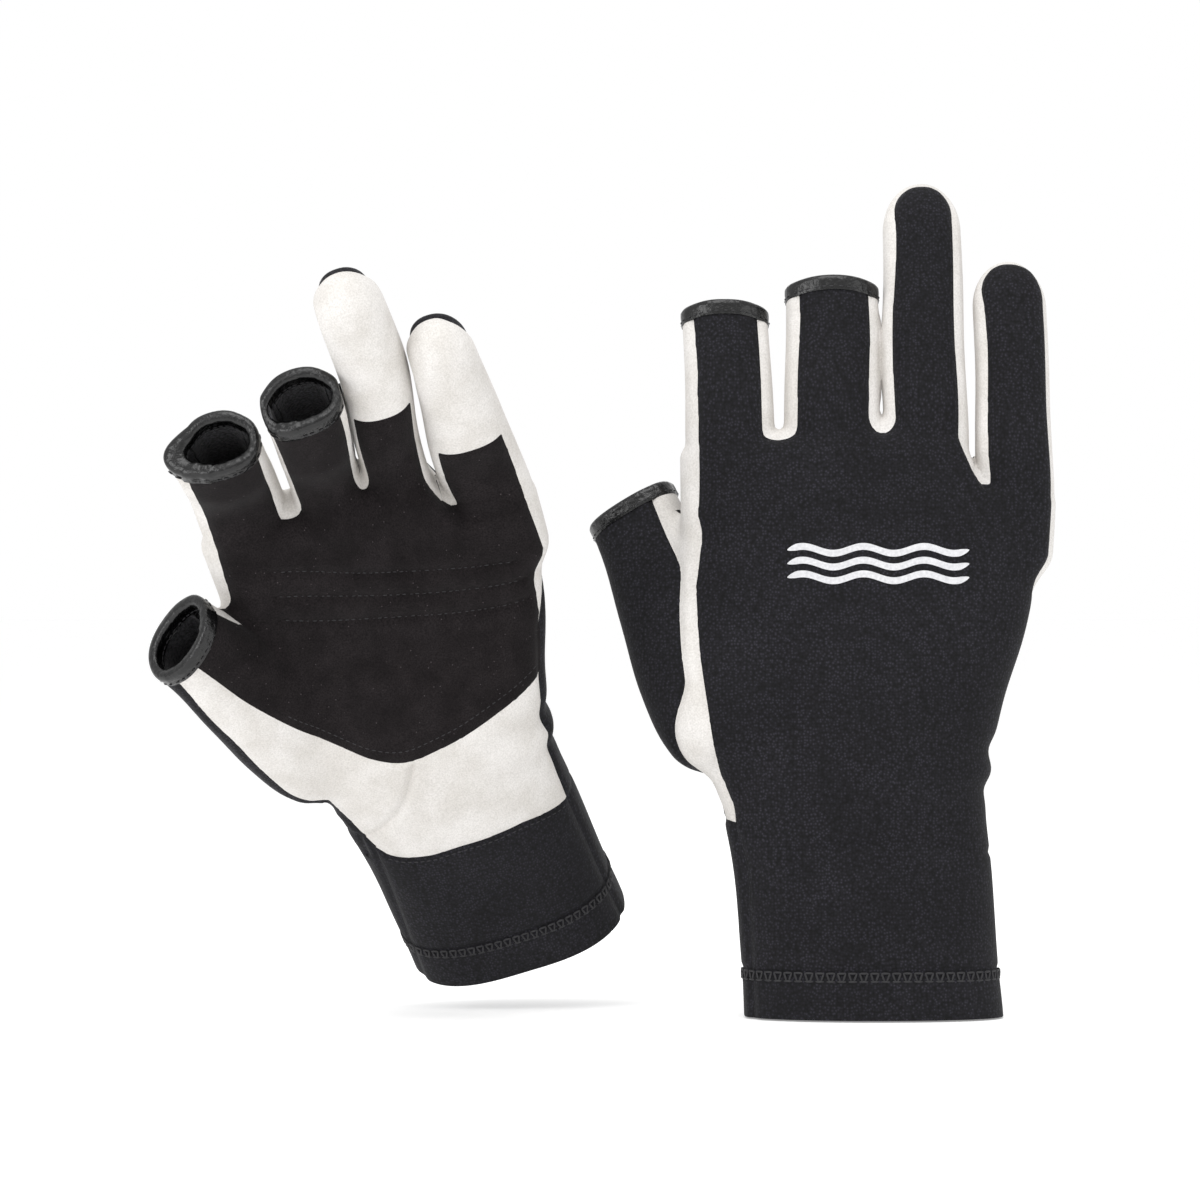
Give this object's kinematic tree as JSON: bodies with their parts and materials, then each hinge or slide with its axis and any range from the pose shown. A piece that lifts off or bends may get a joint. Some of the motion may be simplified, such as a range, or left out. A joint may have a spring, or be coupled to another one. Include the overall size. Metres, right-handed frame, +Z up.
{
  "type": "pair of sailing gloves",
  "caption": "Sailing gloves with black neoprene backs and cuffs, white suede sides and heels, black suede palms, and bound openings at the thumb, index and middle finger.",
  "frame": {"origin": "middle of the right glove's cuff mouth", "axes": "+Z up the right glove from its cuff to its fingertips, -Y out of the back of the right hand, +X from its thumb side to its little finger side"},
  "size_m": [0.2635, 0.175, 0.2463],
  "materials": {
    "neoprene_knit": "fine nylon jersey knit bonded to neoprene, matt black",
    "white_suede": "warm off-white synthetic suede, soft nap",
    "black_suede": "matt black synthetic suede",
    "glossy_binding": "glossy black coated binding tape",
    "thread": "bonded polyester thread, black"
  },
  "bodies": {
    "right_thumb": {"right_thumb_back": "neoprene_knit", "right_thumb_binding": "glossy_binding", "right_thumb_palm": "black_suede", "right_thumb_sides": "white_suede"},
    "right_index": {"right_index_back": "neoprene_knit", "right_index_binding": "glossy_binding", "right_index_palm": "black_suede", "right_index_sides": "white_suede"},
    "right_middle": {"right_middle_back": "neoprene_knit", "right_middle_binding": "glossy_binding", "right_middle_palm": "black_suede", "right_middle_sides": "white_suede"},
    "right_ring": {"right_ring_back": "neoprene_knit", "right_ring_patch": "black_suede", "right_ring_sides": "white_suede", "right_ring_tip": "white_suede"},
    "right_little": {"right_little_back": "neoprene_knit", "right_little_patch": "black_suede", "right_little_sides": "white_suede", "right_little_tip": "white_suede"},
    "right_hand": {"right_back_panel": "neoprene_knit", "right_crotch_gussets": "white_suede", "right_cuff_front": "neoprene_knit", "right_hem": "neoprene_knit", "right_palm_panel": "white_suede", "right_palm_patch": "black_suede", "right_radial_strip": "white_suede", "right_stitching": "thread", "right_thumb_gusset": "white_suede", "right_ulnar_strip": "white_suede"},
    "left_thumb": {"left_thumb_back": "neoprene_knit", "left_thumb_binding": "glossy_binding", "left_thumb_palm": "black_suede", "left_thumb_sides": "white_suede"},
    "left_index": {"left_index_back": "neoprene_knit", "left_index_binding": "glossy_binding", "left_index_palm": "black_suede", "left_index_sides": "white_suede"},
    "left_middle": {"left_middle_back": "neoprene_knit", "left_middle_binding": "glossy_binding", "left_middle_palm": "black_suede", "left_middle_sides": "white_suede"},
    "left_ring": {"left_ring_back": "neoprene_knit", "left_ring_patch": "black_suede", "left_ring_sides": "white_suede", "left_ring_tip": "white_suede"},
    "left_little": {"left_little_back": "neoprene_knit", "left_little_patch": "black_suede", "left_little_sides": "white_suede", "left_little_tip": "white_suede"},
    "left_hand": {"left_back_panel": "neoprene_knit", "left_crotch_gussets": "white_suede", "left_cuff_front": "neoprene_knit", "left_hem": "neoprene_knit", "left_palm_panel": "white_suede", "left_palm_patch": "black_suede", "left_radial_strip": "white_suede", "left_stitching": "thread", "left_thumb_gusset": "white_suede", "left_ulnar_strip": "white_suede"}
  },
  "joints": [
    {"name": "right_thumb_curl", "type": "hinge", "parent": "right_hand", "child": "right_thumb", "pos_m": [-0.05539, 0.0221, 0.12612], "axis": [-0.8421, 0.1445, -0.5196], "range_deg": [0, 50], "stiffness_Nm_per_rad": 0.06},
    {"name": "right_index_curl", "type": "hinge", "parent": "right_hand", "child": "right_index", "pos_m": [-0.04155, 0.0118, 0.171], "axis": [-1, 0, 0], "range_deg": [-8, 70], "stiffness_Nm_per_rad": 0.06},
    {"name": "right_middle_curl", "type": "hinge", "parent": "right_hand", "child": "right_middle", "pos_m": [-0.01195, 0.0118, 0.171], "axis": [-1, 0, 0], "range_deg": [-8, 70], "stiffness_Nm_per_rad": 0.06},
    {"name": "right_ring_curl", "type": "hinge", "parent": "right_hand", "child": "right_ring", "pos_m": [0.01675, 0.0113, 0.171], "axis": [-1, 0, 0], "range_deg": [-8, 75], "stiffness_Nm_per_rad": 0.06},
    {"name": "right_little_curl", "type": "hinge", "parent": "right_hand", "child": "right_little", "pos_m": [0.04205, 0.0103, 0.157], "axis": [-1, 0, 0], "range_deg": [-8, 75], "stiffness_Nm_per_rad": 0.06},
    {"name": "left_thumb_curl", "type": "hinge", "parent": "left_hand", "child": "left_thumb", "pos_m": [-0.17826, -0.04964, 0.09391], "axis": [0.6829, -0.1687, 0.7108], "range_deg": [0, 50], "stiffness_Nm_per_rad": 0.06},
    {"name": "left_index_curl", "type": "hinge", "parent": "left_hand", "child": "left_index", "pos_m": [-0.18128, -0.06745, 0.1388], "axis": [0.9567, -0.0286, 0.2898], "range_deg": [-26, 50], "stiffness_Nm_per_rad": 0.06},
    {"name": "left_middle_curl", "type": "hinge", "parent": "left_hand", "child": "left_middle", "pos_m": [-0.15648, -0.0682, 0.14631], "axis": [0.9567, -0.0286, 0.2898], "range_deg": [-24, 50], "stiffness_Nm_per_rad": 0.06},
    {"name": "left_ring_curl", "type": "hinge", "parent": "left_hand", "child": "left_ring", "pos_m": [-0.13251, -0.06847, 0.1539], "axis": [0.9567, -0.0286, 0.2898], "range_deg": [-10, 75], "stiffness_Nm_per_rad": 0.06},
    {"name": "left_little_curl", "type": "hinge", "parent": "left_hand", "child": "left_little", "pos_m": [-0.1079, -0.06019, 0.15002], "axis": [0.9567, -0.0286, 0.2898], "range_deg": [-11, 75], "stiffness_Nm_per_rad": 0.06},
    {"name": "left_glove_lift", "type": "slide", "parent": "right_hand", "child": "left_hand", "axis": [0, 0, 1], "range_m": [0, 0.08]}
  ]
}
